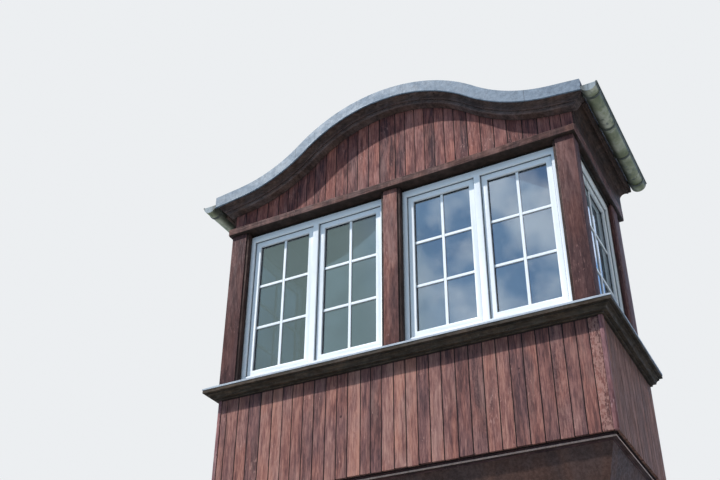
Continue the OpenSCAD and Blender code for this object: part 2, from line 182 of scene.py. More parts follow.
def over(colour, mask, amount, tint):
    """The tint laid over the colour where the mask is, by no more than the amount."""
    return mix_colour(product(mask, amount), colour, (*tint, 1))


def tinted(colour, factor):
    return tuple(min(1, share * factor) for share in colour)


# %% [markdown]
# The world fills the shade, cool from the open front and duller from the right. One even colour
# would leave the shaded side as blue as the front. Light Path gives each kind of ray a picture of
# its own: glossy rays find soft patches of blue and white for the panes to mirror, and the camera,
# also through glass, finds a plain pale backdrop.

# %% World
FILL_STRENGTH = 0.6
COOL_FRONT, DULL_RIGHT = (0.43, 0.79, 1.25, 1), (0.56, 0.55, 0.48, 1)
PATCH_BLUE, PATCH_WHITE = (0.4, 0.72, 1.36), (1.75, 2.00, 2.4)
MIRRORED_LEFT = (0.66, 0.88, 0.86, 1)
BACKDROP = (0.84, 0.86, 0.88, 1)

world = bpy.data.worlds.new("studio")
bpy.context.scene.world = world
world.use_nodes = True
studio = world.node_tree
studio.nodes.clear()
rays = node("LightPath", tree=studio).outputs
towards = node("TexCoord", tree=studio).outputs["Generated"]
sideways = axis_of(towards, "X")


def glow(colour, strength=1.0):
    return node("Background", tree=studio, Color=colour, Strength=strength).outputs[0]


def either(share, first, second):
    return node("MixShader", _0=share, _1=first, _2=second).outputs[0]


span = {"Value": sideways, "From Min": 0.1, "From Max": 0.7}
to_the_right = node("MapRange", **span).outputs["Result"]
fill_tone = mix_colour(to_the_right, COOL_FRONT, DULL_RIGHT)
patches = noise(towards, 13.0, 5, 0.55)
patches = ramp(patches, (0.44, PATCH_BLUE), (0.6, PATCH_WHITE))
mirrored = mix_colour(fade(sideways, -0.32, -0.42), patches, MIRRORED_LEFT)
lit = either(rays["Is Glossy Ray"], glow(fill_tone, FILL_STRENGTH), glow(mirrored))
seen = math_of("MAXIMUM", rays["Is Camera Ray"], rays["Is Transmission Ray"])
node("OutputWorld", Surface=either(seen, lit, glow(BACKDROP)))
print("fill", FILL_STRENGTH, "with", len(studio.nodes), "nodes")

# %% [markdown]
# ## Shared surface effects
# Each effect is a node group that puts out masks, and the material decides what a mask does to
# colour, roughness and bump. The same nodes could be built into every material, but then a better
# grain is drawn many times.


# %% Node groups
def group(name, **inputs):
    """A new group and the sockets that bring its inputs in, each with its usual value."""
    made = bpy.data.node_groups.new(name, "ShaderNodeTree")
    for label, value in inputs.items():
        kind = "NodeSocketVector" if isinstance(value, tuple) else "NodeSocketFloat"
        made.interface.new_socket(label, in_out="INPUT", socket_type=kind).default_value = value
    return made, made.nodes.new("NodeGroupInput").outputs


def put_out(made, **masks):
    """Gives the group one output for each mask."""
    for label in masks:
        made.interface.new_socket(label, in_out="OUTPUT", socket_type="NodeSocketFloat")
    fill(made.nodes.new("NodeGroupOutput"), **masks)
    print("group", made.name, "puts out", ", ".join(masks))


def seeded(place, seed, step):
    """The place moved far off by the seed, so that each seed shows another part of a pattern."""
    far = product(seed, step)
    return shifted(place, node("CombineXYZ", X=far, Y=far, Z=far).outputs[0])


# %% [markdown]
# The bay is lined with coarse softwood: long grain, slow streaks of stain and a few knots. The Wave
# texture draws rings that look turned on a lathe. Noise that is squeezed along one axis has the
# broken lines of real grain, and the Stretch input sets that axis.

# %% Wood figure
FIGURE_STEP = 37.0
figure, given = group("wood_figure", Place=(0, 0, 0), Stretch=(1, 1, 0.04), Seed=0.0)
here = seeded(scaled(given["Place"], given["Stretch"]), given["Seed"], FIGURE_STEP)
wide = seeded(given["Place"], given["Seed"], FIGURE_STEP)
coarse = product(noise(here, 85, 4, 0.62, 0.4), 0.7)
fibre = product(noise(here, 260, 2, 0.5), 0.3)
streak = noise(here, 22, 3, 0.5, 0.3)
blotch = noise(scaled(wide, (1, 1, 0.24)), 13.0, 4, 0.6, 0.6)
drift = noise(scaled(wide, (1, 1, 0.3)), 4.5, 2, 0.5, 0.8)
cells = node("TexVoronoi", {"feature": "F1"}, Vector=wide, Scale=7.5, Randomness=1.0)
knot_size = fade(noise(wide, 3.0, 1), 0.45, 0.75, -0.05, 0.07)
knot = math_of("SUBTRACT", cells.outputs["Distance"], knot_size)
put_out(figure,
        Grain=fade(math_of("ADD", coarse, fibre), 0.36, 0.64),
        Streak=fade(streak, 0.3, 0.7),
        Blotch=fade(blotch, 0.34, 0.66),
        Knot=fade(knot, 0.055, 0.015),
        Drift=fade(drift, 0.36, 0.64))

# %% [markdown]
# Weather works on a larger scale than the figure. Rain wears the stain off in patches, and soot and
# algae run down from every ledge in thin upright lines.

# %% Weather
WEATHER_STEP = 19.0
OTHER_PART = (3.1, 1.7, 0.9)
weather, given = group("weather", Place=(0, 0, 0), Seed=0.0)
here = seeded(given["Place"], given["Seed"], WEATHER_STEP)
patch = noise(scaled(here, (1, 1, 0.26)), 7.0, 5, 0.65, 0.4)
runs = fade(noise(scaled(here, (1, 1, 0.05)), 24, 3, 0.6), 0.5, 0.72)
breaks = fade(noise(here, 2.4, 2), 0.35, 0.65)
speck = noise(here, 160, 2, 0.6)
flecks = fade(noise(scaled(here, (1, 1, 0.3)), 75, 2, 0.5, 0.4), 0.6, 0.68)
bare = noise(shifted(here, OTHER_PART), 3.6, 2, 0.5)
put_out(weather,
        Worn=fade(patch, 0.5, 0.74),
        Run=product(runs, breaks),
        Speck=fade(speck, 0.62, 0.72),
        Fleck=product(flecks, fade(bare, 0.54, 0.66)))

# %% [markdown]
# Edges lose their finish first. They could be painted by hand, piece by piece. The Bevel node finds
# them by itself: it gives a rounded normal near an edge, and where that leaves the true normal there
# is an edge.

# %% Edge wear
wear, given = group("edge_wear", Place=(0, 0, 0), Width=0.004)
rounded = node("Bevel", {"samples": 4}, Radius=given["Width"]).outputs["Normal"]
true_face = node("NewGeometry", tree=wear).outputs["Normal"]
turn = node("VectorMath", {"operation": "DOT_PRODUCT"}, _0=rounded, _1=true_face)
edge = fade(turn.outputs["Value"], 0.995, 0.86)
ragged = fade(noise(given["Place"], 30, 4, 0.7), 0.36, 0.6)
put_out(wear, Edge=product(edge, ragged))


# %% [markdown]
# ## Finishes
# Every finish starts with the same few nodes: the place on the piece, the marks of the weather, the
# worn edges, and the corners, which are darkened as painted shade. Ambient Occlusion finds the corners.


# %% The start of a finish
def new_material(name):
    made = bpy.data.materials.new(name)
    made.use_nodes = True
    tree = made.node_tree
    return made, tree, tree.nodes["Principled BSDF"]


def own_place(tree):
    return node("TexCoord", tree=tree).outputs["Object"]


def written(tree, label):
    """The value that a piece's mesh has written down under this label."""
    return node("Attribute", {"attribute_name": label}, tree).outputs["Fac"]


def facing_up(tree):
    return axis_of(node("NewGeometry", tree=tree).outputs["Normal"], "Z")


def placed(shared, **sockets):
    return node("Group", {"node_tree": shared}, **sockets).outputs


# Painted shade: a mask that is high in corners and creases, where Ambient Occlusion finds little open
# space.
def occlusion_shade(tree, samples, start, end):
    near = node("AmbientOcclusion", {"samples": samples}, tree, Distance=0.03)
    return fade(near.outputs["AO"], start, end)


def bumped(height, strength, distance):
    return node("Bump", Strength=strength, Distance=distance, Height=height).outputs["Normal"]


# %% [markdown]
# All timber has the same two-step recipe: a stain colour that the figure darkens and lightens, and
# weather on top. Boards also carry attributes. "board" is a random value for each board, which
# moves the figure and shifts the tone, so that no two neighbours look sawn from one plank. "across"
# runs from -1 to 1 over the board's width and puts dirt into the joints. "flaked" is how much of
# its stain a board has lost. The other way is a material for each of 175 boards.

# %% Dirt, painted shade and gloss of timber
CORNER_SHADE = (0.014, 0.012, 0.012)
JOINT_DIRT = (0.014, 0.01, 0.01)
UNDER_SHADE = (0.022, 0.017, 0.013)
LEDGE_SHADE = (0.01, 0.009, 0.009)
WARM, COOL = (1.09, 0.98, 0.9), (0.9, 0.98, 1.05)
MEAN_TONE = 0.47
ROUGH_GRAIN, ROUGH_REST = 0.6, 0.82
TIMBER_GLOSS = 0.12


# %% Timber
def stain(wood, tones, depth, drift, board_seed, spread):
    dark, middle, light = tones
    tone = MEAN_TONE - sum(depth) / 2
    for label, share in zip(("Streak", "Grain", "Blotch"), depth):
        tone = math_of("MULTIPLY_ADD", wood[label], share, tone)
    if spread:
        tone = math_of("MULTIPLY_ADD", math_of("SUBTRACT", board_seed, 0.5), spread, tone)
    colour = ramp(tone, (0.1, dark), (0.88, light), (0.46, middle))
    hue = ramp(wood["Drift"], (0.0, WARM), (1.0, COOL))
    return mix_colour(drift, colour, hue, "MULTIPLY")


def joints_and_flakes(colour, place, joint, bare):
    flakes = fade(noise(scaled(place, (1, 1, 0.5)), 75, 3, 0.65), 0.46, 0.56)
    colour = over(colour, flakes, written(place.id_data, "flaked"), tinted(bare, 1.1))
    rim = math_of("ABSOLUTE", written(place.id_data, "across"))
    damp = product(fade(rim, 0.8, 0.97), 0.18)
    dirt = math_of("MAXIMUM", fade(rim, joint, joint + 0.02), damp)
    return mix_colour(dirt, colour, (*JOINT_DIRT, 1))


def ledge_shadow(colour, place, ledge):
    """A painted shadow where boards end under a ledge: a dark line, and a softer band of painted shade
    below it.
    """
    height = axis_of(place, "Z")
    line = fade(height, ledge - 0.014, ledge - 0.007, 0.0, 0.85)
    band = fade(height, ledge - 0.13, ledge - 0.07, 0.0, 0.28)
    return mix_colour(math_of("MAXIMUM", line, band), colour, (*LEDGE_SHADE, 1))


def timber(name, dark, middle, light, bare, worn, edges, along=(1, 1, 0.08), joint=None, seed=0.3,
           edge_width=0.004, crevice_shade=0.5, bump=0.35, run=0.5, spread=0.0, depth=(0.26, 0.42, 0.28),
           under_shade=0.0, drift=0.7, ledge=None):
    made, tree, surface = new_material(name)
    place = own_place(tree)
    if joint:
        seed = written(tree, "board")
    wood = placed(figure, Place=place, Stretch=along, Seed=seed)
    traces = placed(weather, Place=place, Seed=seed)
    rubbed = placed(wear, Place=place, Width=edge_width)
    colour = stain(wood, (dark, middle, light), depth, drift, seed, spread)
    soot = tinted(dark, 0.5)
    # The corner mask in this list darkens corners and creases as painted shade. The others are weather,
    # knots and wear.
    for mask, amount, tint in (
            (traces["Worn"], worn, bare), (traces["Run"], run, soot), (wood["Knot"], 0.8, soot),
            (traces["Speck"], 0.35, soot), (traces["Fleck"], worn, tinted(bare, 1.35)),
            (rubbed["Edge"], edges, bare), (occlusion_shade(tree, 4, 0.78, 0.38), crevice_shade, CORNER_SHADE)):
        colour = over(colour, mask, amount, tint)
    if joint:
        colour = joints_and_flakes(colour, place, joint, bare)
    # Painted shade: faces that look down are darkened.
    if under_shade:
        colour = over(colour, fade(facing_up(tree), -0.2, -0.7), under_shade, UNDER_SHADE)
    if ledge:
        colour = ledge_shadow(colour, place, ledge)
    height = math_of("MULTIPLY_ADD", wood["Knot"], -0.5, wood["Grain"])
    fill(surface, **{
        "Base Color": colour, "Roughness": fade(wood["Grain"], 0.0, 1.0, ROUGH_REST, ROUGH_GRAIN),
        "Specular IOR Level": TIMBER_GLOSS, "Normal": bumped(height, bump, 0.0015)})
    return made


# %% [markdown]
# Each call below is one finish: its stain from dark to light, the bare wood where it wears off, and how
# far it has aged. One stain for the whole bay would be quicker, but a gable under its roof, a sill in
# the rain and a post between windows don't age alike. Some finishes also hold painted light: the sides'
# warmer stain, the dark stop strips, the near-black beam and eaves, and the wide pale edges of posts
# and header.

# %% Stains
SILL_FOOT = 0.86
ALONG_X = (0.08, 0.08, 1)
UPRIGHT = (1, 1, 0.12)

stained_board = timber(
    "stained_board", (0.086, 0.042, 0.042), (0.222, 0.095, 0.081), (0.42, 0.205, 0.156),
    bare=(0.4, 0.22, 0.18), worn=0.42, edges=0.3, joint=0.925, depth=(0.32, 0.4, 0.18),
    spread=0.5, ledge=SILL_FOOT)
# The side boards' stain is a warmer, flatter copy of the front's. The difference is painted light: the
# warm light in which the shaded sides stand.
side_shade_stain = timber(
    "side_shade_stain", (0.096, 0.05, 0.036), (0.205, 0.098, 0.072), (0.35, 0.172, 0.126),
    bare=(0.31, 0.19, 0.155), worn=0.3, edges=0.3, joint=0.965, spread=0.2, drift=0.5,
    ledge=SILL_FOOT)
gable_stain = timber(
    "gable_stain", (0.058, 0.028, 0.03), (0.178, 0.068, 0.059), (0.35, 0.142, 0.112),
    bare=(0.4, 0.21, 0.18), worn=0.4, edges=0.2, joint=0.935, spread=0.4)
# The posts' wide pale edges are partly wear and partly a painted highlight along their arrises.
stained_post = timber(
    "stained_post", (0.042, 0.022, 0.022), (0.086, 0.038, 0.035), (0.156, 0.07, 0.06),
    bare=(0.3, 0.15, 0.13), worn=0.35, edges=1.0, edge_width=0.01, along=UPRIGHT,
    crevice_shade=0.9, run=0.35, depth=(0.16, 0.3, 0.3), under_shade=0.6)
centre_stain = timber(
    "centre_stain", (0.075, 0.038, 0.036), (0.17, 0.072, 0.06), (0.33, 0.16, 0.125),
    bare=(0.38, 0.22, 0.19), worn=0.4, edges=0.9, edge_width=0.008, along=(1, 1, 0.1),
    seed=0.8, crevice_shade=0.9, depth=(0.2, 0.28, 0.36))
stop_shadow_stain = timber(
    "stop_shadow_stain", (0.022, 0.014, 0.012), (0.045, 0.026, 0.021), (0.08, 0.046, 0.038),
    bare=(0.14, 0.08, 0.07), worn=0.2, edges=0.5, along=UPRIGHT, seed=0.1, crevice_shade=0.95, bump=0.3)
bead_stain = timber(
    "bead_stain", (0.12, 0.056, 0.058), (0.24, 0.105, 0.104), (0.4, 0.205, 0.19),
    bare=(0.46, 0.28, 0.26), worn=0.7, edges=0.9, along=UPRIGHT, seed=0.9, bump=0.3)
# The header moulding's wide pale edges are partly wear and partly a painted highlight along its top
# edge.
level_stain = timber(
    "level_stain", (0.042, 0.022, 0.02), (0.096, 0.047, 0.04), (0.23, 0.116, 0.094),
    bare=(0.3, 0.16, 0.135), worn=0.5, edges=1.0, edge_width=0.01, along=ALONG_X, seed=0.5,
    crevice_shade=0.8, depth=(0.24, 0.38, 0.32), under_shade=0.8)
fascia_stain = timber(
    "fascia_stain", (0.056, 0.038, 0.034), (0.108, 0.073, 0.064), (0.185, 0.126, 0.11),
    bare=(0.26, 0.165, 0.15), worn=0.2, edges=0.8, edge_width=0.008, along=(0.2, 0.2, 1),
    crevice_shade=0.9, bump=0.25, run=0.3)
# The eaves' very dark stain is partly their colour and partly painted shade under the gutter.
eaves_shade_stain = timber(
    "eaves_shade_stain", (0.026, 0.018, 0.014), (0.052, 0.033, 0.027), (0.095, 0.058, 0.046),
    bare=(0.18, 0.1, 0.08), worn=0.3, edges=0.8, edge_width=0.008, along=(0.3, 0.06, 1),
    seed=0.2, bump=0.25, run=0.3)
# Painted shade: the beam stands in the shade under the header moulding, and its near-black stain is
# partly its colour and partly that shade.
beam_shade_stain = timber(
    "beam_shade_stain", (0.015, 0.013, 0.012), (0.031, 0.026, 0.023), (0.054, 0.044, 0.038),
    bare=(0.06, 0.045, 0.04), worn=0.2, edges=0.3, along=ALONG_X, bump=0.3, run=0.3)
sill_stain = timber(
    "sill_stain", (0.032, 0.023, 0.016), (0.055, 0.04, 0.028), (0.095, 0.068, 0.049),
    bare=(0.15, 0.115, 0.1), worn=0.25, edges=0.7, edge_width=0.007, along=ALONG_X, seed=0.6,
    crevice_shade=0.9, bump=0.3, run=0.3)
base_stain = timber(
    "base_stain", (0.054, 0.03, 0.024), (0.08, 0.044, 0.036), (0.114, 0.064, 0.052),
    bare=(0.14, 0.095, 0.08), worn=0.15, edges=0.3, along=(0.5, 0.5, 0.5), bump=0.15, run=0.2)
ring_stain = timber(
    "ring_stain", (0.04, 0.02, 0.021), (0.085, 0.04, 0.04), (0.14, 0.068, 0.066),
    bare=(0.2, 0.12, 0.11), worn=0.3, edges=0.3, along=ALONG_X, seed=0.4, bump=0.2, run=0.2,
    under_shade=0.5)
print("materials after the stains:", len(bpy.data.materials))

# %% [markdown]
# Zinc weathers to a blue-grey patina that is never even: soft patches, run marks and small dark specks.
# A fully metallic shader would mirror like new sheet. Old zinc is dull, so most of its look comes from
# colour and roughness. Faces that look down turn green, partly as growth and partly as a painted warm
# reflection.

# %% Values of zinc
LAP_SHIFT = 20.32
RIM_SHADE, INBOARD_SHADE = (0.05, 0.055, 0.048, 1), (0.05, 0.05, 0.04, 1)
ZINC_METAL, ZINC_GLOSS = 0.15, 0.22


# %% Zinc
# Faces that look down turn green: partly growth, partly a painted warm reflection.
def growth_and_bounce_below(colour, place, tone, growth_and_bounce):
    dark, middle, light = growth_and_bounce
    algae_and_bounce = noise(place, 4.5, 4, 0.6, 0.3)
    algae_and_bounce = math_of("MULTIPLY_ADD", algae_and_bounce, 0.8, product(tone, 0.2))
    green = ramp(algae_and_bounce, (0.34, dark), (0.62, light), (0.5, middle))
    return mix_colour(fade(facing_up(place.id_data), 0.05, -0.35), colour, green)


def sheet_laps(colour, across, laps, dark):
    """A thin dark line at each step of the given width, where one sheet laps over the next."""
    share = math_of("FRACT", math_of("MULTIPLY_ADD", across, 1 / laps, LAP_SHIFT))
    off = math_of("ABSOLUTE", math_of("SUBTRACT", share, 0.5))
    line = fade(product(off, laps), 0.0034, 0.0014, 0.0, 0.75)
    return mix_colour(line, colour, (*tinted(dark, 0.35), 1))


# Painted shade: a dark line along the gutter's outer rim, under its rolled edge, and a darker band on
# the inboard side next to the eaves.
def gutter_rim_shade(colour, across, rim):
    out = math_of("ABSOLUTE", across)
    colour = mix_colour(fade(out, rim - 0.004, rim, 0.0, 0.85), colour, RIM_SHADE)
    inboard_shade = fade(out, rim - 0.066, rim - 0.12, 0.0, 0.8)
    return mix_colour(inboard_shade, colour, INBOARD_SHADE)


def zinc(name, dark, light, marks=0.4, roughness=(0.42, 0.66), growth_and_bounce=None, laps=0.0, rim=0.0):
    made, tree, surface = new_material(name)
    place = own_place(tree)
    across = axis_of(place, "X")
    cloudy = noise(place, 6.5, 5, 0.6, 0.5)
    mottle = noise(place, 27, 4, 0.64, 0.3)
    fine = noise(place, 75, 3, 0.6)
    traces = placed(weather, Place=place, Seed=0.4)
    rubbed = placed(wear, Place=place, Width=0.006)
    tone = math_of("MULTIPLY_ADD", mottle, 0.36, product(fine, 0.24))
    tone = math_of("MULTIPLY_ADD", cloudy, 0.4, tone)
    colour = ramp(tone, (0.38, dark), (0.61, light))
    if growth_and_bounce:
        colour = growth_and_bounce_below(colour, place, tone, growth_and_bounce)
    if laps:
        colour = sheet_laps(colour, across, laps, dark)
    if rim:
        colour = gutter_rim_shade(colour, across, rim)
    colour = over(colour, traces["Run"], marks, tinted(dark, 0.55))
    colour = over(colour, traces["Speck"], 0.35, tinted(dark, 0.6))
    colour = over(colour, rubbed["Edge"], 0.4, tinted(light, 1.25))
    fill(surface, **{
        "Base Color": colour, "Metallic": ZINC_METAL, "Specular IOR Level": ZINC_GLOSS,
        "Roughness": fade(cloudy, 0.3, 0.7, *roughness), "Normal": bumped(cloudy, 0.15, 0.002)})
    return made


# %% [markdown]
# The roof's sheets lap over each other at even steps. The gutters' undersides are green, partly from
# growth and partly as a painted warm reflection, and a painted shade darkens their outer rims and
# inboard sides. The straps that hold them are darker. Two paler metals finish the drip lip and the
# sill's cover.

# %% Metals
SHEET_W = 1.18
GUTTER_RIM = 2.022

roof_zinc = zinc("roof_zinc", (0.07, 0.094, 0.124), (0.215, 0.255, 0.302), laps=SHEET_W)
gutter_zinc = zinc(
    "gutter_zinc", (0.13, 0.16, 0.18), (0.29, 0.32, 0.34), marks=0.8, roughness=(0.5, 0.7),
    growth_and_bounce=((0.12, 0.138, 0.062), (0.3, 0.305, 0.2), (0.56, 0.54, 0.42)), rim=GUTTER_RIM)
strap_zinc = zinc("strap_zinc", (0.075, 0.08, 0.066), (0.135, 0.14, 0.118), roughness=(0.5, 0.7))
drip_metal = zinc(
    "drip_metal", (0.25, 0.165, 0.13), (0.5, 0.35, 0.285), marks=0.6, roughness=(0.5, 0.7))
cover_metal = zinc(
    "cover_metal", (0.28, 0.3, 0.34), (0.42, 0.45, 0.49), marks=0.25, roughness=(0.4, 0.6))
print("materials after the metals:", len(bpy.data.materials))

# %% [markdown]
# The window profiles are white plastic with a low gloss. Even white would look like paper, so the
# profiles are darkened grey where the faces meet, a painted shade, and a faint grey dirt lies on them
# in patches. The seals are black rubber, and the panes are dark glass whose tint is painted shade for
# the room behind, with soft blotches that are a painted reflection. Their IOR is above that of real
# glass, because each pane stands for a sealed unit, which mirrors from four surfaces instead of two.

# %% Values of profiles and panes
PLASTIC_GLOSS = 0.35
DUST = (0.06, 0.06, 0.06)
PANE_CLEAR = 0.92
PANE_IOR = 2.3


# %% Profiles, seals and glass
def plastic(name, colour, dirt):
    made, tree, surface = new_material(name)
    place = own_place(tree)
    traces = placed(weather, Place=place, Seed=0.7)
    uneven = fade(noise(place, 14, 3), 0.3, 0.7, 0.55, 1.0)
    # Painted shade: the profiles turn grey where faces meet. The worn patches below are real dirt.
    shade = over((*colour, 1), occlusion_shade(tree, 6, 0.7, 0.3), uneven, dirt)
    shade = over(shade, traces["Worn"], 0.03, dirt)
    rough = fade(noise(place, 9, 3), 0.3, 0.7, 0.26, 0.42)
    fill(surface, **{"Base Color": shade, "Roughness": rough, "Specular IOR Level": PLASTIC_GLOSS})
    return made


def rubber(name, colour):
    made, tree, surface = new_material(name)
    dust = fade(noise(own_place(tree), 45, 3), 0.5, 0.75)
    shade = over((*colour, 1), dust, 0.5, DUST)
    fill(surface, **{"Base Color": shade, "Roughness": fade(dust, 0.0, 1.0, 0.5, 0.8)})
    return made


def glass(name, clear, reflected_tint):
    made, tree, surface = new_material(name)
    # The dark tint is painted shade for the room behind the pane, and its soft blotches are a painted
    # reflection.
    blotch_reflection = noise(own_place(tree), 1.7, 3, 0.5, 0.6)
    fill(surface, **{
        "Base Color": ramp(blotch_reflection, (0.35, clear), (0.68, reflected_tint)), "Transmission Weight": PANE_CLEAR,
        "IOR": PANE_IOR, "Roughness": fade(blotch_reflection, 0.3, 0.8, 0.01, 0.05)})
    return made


white_profile = plastic("white_profile", (0.85, 0.86, 0.87), (0.17, 0.18, 0.19))
black_seal = rubber("black_seal", (0.012, 0.012, 0.014))
grey_seal = rubber("grey_seal", (0.06, 0.068, 0.08))
pane_glass = glass("pane_glass", (0.06, 0.1, 0.13), (0.1, 0.16, 0.2))
print("materials after the windows' own:", len(bpy.data.materials))

# %% [markdown]
# ## Helpers for modelling
# Operators act on what is selected, so each helper first clears the selection. A new primitive is
# applied at once, which leaves every object at the origin with its place in its mesh.


# %% Selection helpers
def only(*things):
    bpy.ops.object.select_all(action="DESELECT")
    for thing in things:
        thing.select_set(True)
    bpy.context.view_layer.objects.active = things[0]


def edit(thing, action="DESELECT"):
    only(thing)
    bpy.ops.object.mode_set(mode="EDIT")
    bpy.ops.mesh.select_all(action=action)


def leave():
    bpy.ops.object.mode_set(mode="OBJECT")


def pick(thing, kind, test):
    """Selects the edges or faces that pass the test."""
    bpy.ops.mesh.select_mode(type=kind)
    grid = bmesh.from_edit_mesh(thing.data)
    for item in {"EDGE": grid.edges, "FACE": grid.faces}[kind]:
        item.select_set(bool(test(item)))
    bmesh.update_edit_mesh(thing.data)


# %% Object helpers
def named(thing, name):
    thing.name = name
    thing.data.name = name
    return thing


def block(name, low, high):
    low, high = Vector(low), Vector(high)
    bpy.ops.object.select_all(action="DESELECT")
    bpy.ops.mesh.primitive_cube_add(size=1, location=(low + high) / 2)
    made = named(bpy.context.object, name)
    made.scale = high - low
    bpy.ops.object.transform_apply()
    return made


def copy_of(thing, name):
    made = thing.copy()
    made.data = thing.data.copy()
    named(made, name)
    made.parent = None
    for key_name in list(made.keys()):
        del made[key_name]
    made.hide_render = False
    made.hide_viewport = False
    bpy.context.scene.collection.objects.link(made)
    return made


def join(name, things):
    only(*things)
    if len(things) > 1:
        bpy.ops.object.join()
    return named(bpy.context.object, name)


def dress(piece, material, *nodes, slot="stained_boards"):
    """Gives a piece its material and its body, and hides the CAD nodes it stands for. The slot is not
    used.
    """
    piece.data.materials.clear()
    piece.data.materials.append(material)
    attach(piece, "root")
    if nodes:
        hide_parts(*nodes)


# %% [markdown]
# ## Boards
# A lining board is a plank with two bevelled edges, so that two neighbours meet in a V. Grooves in
# one large panel would be quicker, but boards that are laid one by one differ in width and stand a
# little unevenly, as old ones do. One blank is modelled from a cube, and every board is its copy.

# %% The blank board
BOARD_T = 0.02
JOINT = 0.004
BLANK_W = 0.1

blank = block("blank_board", (-BLANK_W / 2, -BOARD_T, 0), (BLANK_W / 2, 0, 1))
edit(blank)
pick(blank, "EDGE", lambda e: all(abs(v.co.y + BOARD_T) < 1e-4 for v in e.verts)
     and abs(e.verts[0].co.z - e.verts[1].co.z) > 0.5)
bpy.ops.mesh.bevel(offset=JOINT, segments=2, profile=0.6)
leave()
print("blank board:", len(blank.data.polygons), "faces")

# %% [markdown]
# A row of boards is laid in a flat frame of its own and then turned to its wall. In that frame the
# boards stand along z and face -y. A copied board is widened by moving its two edges apart, because
# scaling it would widen its bevels too.


# %% Laying boards
def note(thing, label, values):
    thing.data.attributes.new(label, "FLOAT", "POINT").data.foreach_set("value", values)


def lay_board(across0, across1, foot, top0, top1, seed, flaked, gap=0.0006):
    made = copy_of(blank, "board")
    width = across1 - across0 - 2 * gap
    middle = (across0 + across1) / 2
    for vertex in made.data.vertices:
        side = 1 if vertex.co.x > 0 else -1
        x = middle + side * width / 2 + (vertex.co.x - side * BLANK_W / 2)
        share = (x - across0) / (across1 - across0)
        z = foot if vertex.co.z < 0.5 else top0 + (top1 - top0) * share
        vertex.co = (x, vertex.co.y, z)
    note(made, "board", [seed] * len(made.data.vertices))
    note(made, "flaked", [flaked] * len(made.data.vertices))
    note(made, "across", [(v.co.x - middle) / (width / 2) for v in made.data.vertices])
    return made


def boarding(name, joints, foot, top, place, seed, uneven=0.0, proud=0.0012, flaked=()):
    """A row of boards in the plane y = 0 that faces -y, moved by the matrix place."""
    draw = random.Random(seed)
    laid = []
    for index, (start, end) in enumerate(zip(joints, joints[1:])):
        foot_here = foot + draw.uniform(0, uneven)
        made = lay_board(start, end, foot_here, top(start), top(end), draw.random(),
                         dict(flaked).get(index, 0.0))
        out = draw.uniform(0, proud)
        made.data.transform(place @ Matrix.Translation((0, out, 0)))
        laid.append(made)
    print(name, len(laid), "boards")
    return join(name, laid)


def even_joints(start, end, width, seed, mirrored=False, spread=0.006):
    draw = random.Random(seed)
    count = round((end - start) / width)
    step = (end - start) / count
    inner = [start + step * i + draw.uniform(-spread, spread) for i in range(1, count)]
    found = [start, *inner, end]
    return sorted(-joint for joint in found) if mirrored else found


def wall(at, turn):
    """The matrix that sets a row's back against the point at, turned about the upright axis."""
    return Matrix.Translation(at) @ Matrix.Rotation(math.radians(turn), 4, "Z")


# %% [markdown]
# Behind the boards stays a core of the CAD panel, so that the wall keeps its thickness. A CAD node
# comes in as loose triangles. A copy is welded and its flat faces are made whole, and then bisect
# cuts off the layers that the boards take over.

# %% Cores of CAD panels
WELD = 0.00002
FLAT = math.radians(0.4)


def cad_copy(node_name, name):
    made = copy_of(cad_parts[node_name], name)
    only(made)
    bpy.ops.mesh.customdata_custom_splitnormals_clear()
    edit(made, "SELECT")
    bpy.ops.mesh.remove_doubles(threshold=WELD)
    bpy.ops.mesh.dissolve_limited(angle_limit=FLAT)
    leave()
    return made


def core_of(node_name, name, *cuts):
    """A copy of a CAD node. Each cut is a point and the direction in which all goes."""
    made = cad_copy(node_name, name)
    for point, direction in cuts:
        edit(made, "SELECT")
        bpy.ops.mesh.bisect(plane_co=point, plane_no=direction, use_fill=True, clear_outer=True)
        leave()
    return made


apron_low, apron_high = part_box("apron_front")
room_low, room_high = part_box("floor_deck")
FACE_Y, SIDE_X = apron_low.y, apron_high.x
FOOT_Z, SILL_Z = apron_low.z, apron_high.z
CORE_FRONT, CORE_BACK = FACE_Y + BOARD_T, apron_high.y - BOARD_T
print("face", round(FACE_Y, 3), "side", round(SIDE_X, 3), "foot", round(FOOT_Z, 3))

# %% [markdown]
# The apron front has 32 boards between two corner beads. Their joints are given one by one, because
# old boards are never all alike. The second list names the few boards whose stain has flaked.
# Inside the room a second lining faces the other way, with even boards.

# %% Apron front
BEAD = 0.03
LINING_W = 0.12
UNEVEN = 0.006
FLAKED = ((31, 0.55), (28, 0.15), (22, 0.1))
APRON_JOINTS = [
    -1.720, -1.656, -1.535, -1.420, -1.297, -1.179, -1.073, -0.974, -0.867, -0.760, -0.644, -0.537,
    -0.434, -0.313, -0.220, -0.120, -0.008, 0.099, 0.202, 0.308, 0.417, 0.538, 0.654, 0.773, 0.886,
    0.995, 1.106, 1.217, 1.327, 1.434, 1.534, 1.634, 1.720]
front_wall = wall((0, CORE_FRONT, 0), 0)


def sill_line(x):
    """The boards of the apron all end under the sill, wherever they stand."""
    return SILL_Z


dress(boarding("apron_boards_front", APRON_JOINTS, FOOT_Z, sill_line, front_wall, seed=11,
               uneven=UNEVEN, flaked=FLAKED), stained_board, "apron_front")
dress(core_of("apron_front", "apron_core_front",
              ((0, CORE_FRONT, 0), (0, -1, 0)), ((0, CORE_BACK, 0), (0, 1, 0)),
              ((SIDE_X - BEAD, 0, 0), (1, 0, 0)), ((-SIDE_X + BEAD, 0, 0), (-1, 0, 0))), stained_post)
joints = even_joints(room_low.x, room_high.x, LINING_W, seed=3)
dress(boarding("apron_lining_front", joints, room_high.z, sill_line, wall((0, CORE_BACK, 0), 180),
               seed=21), stained_board)

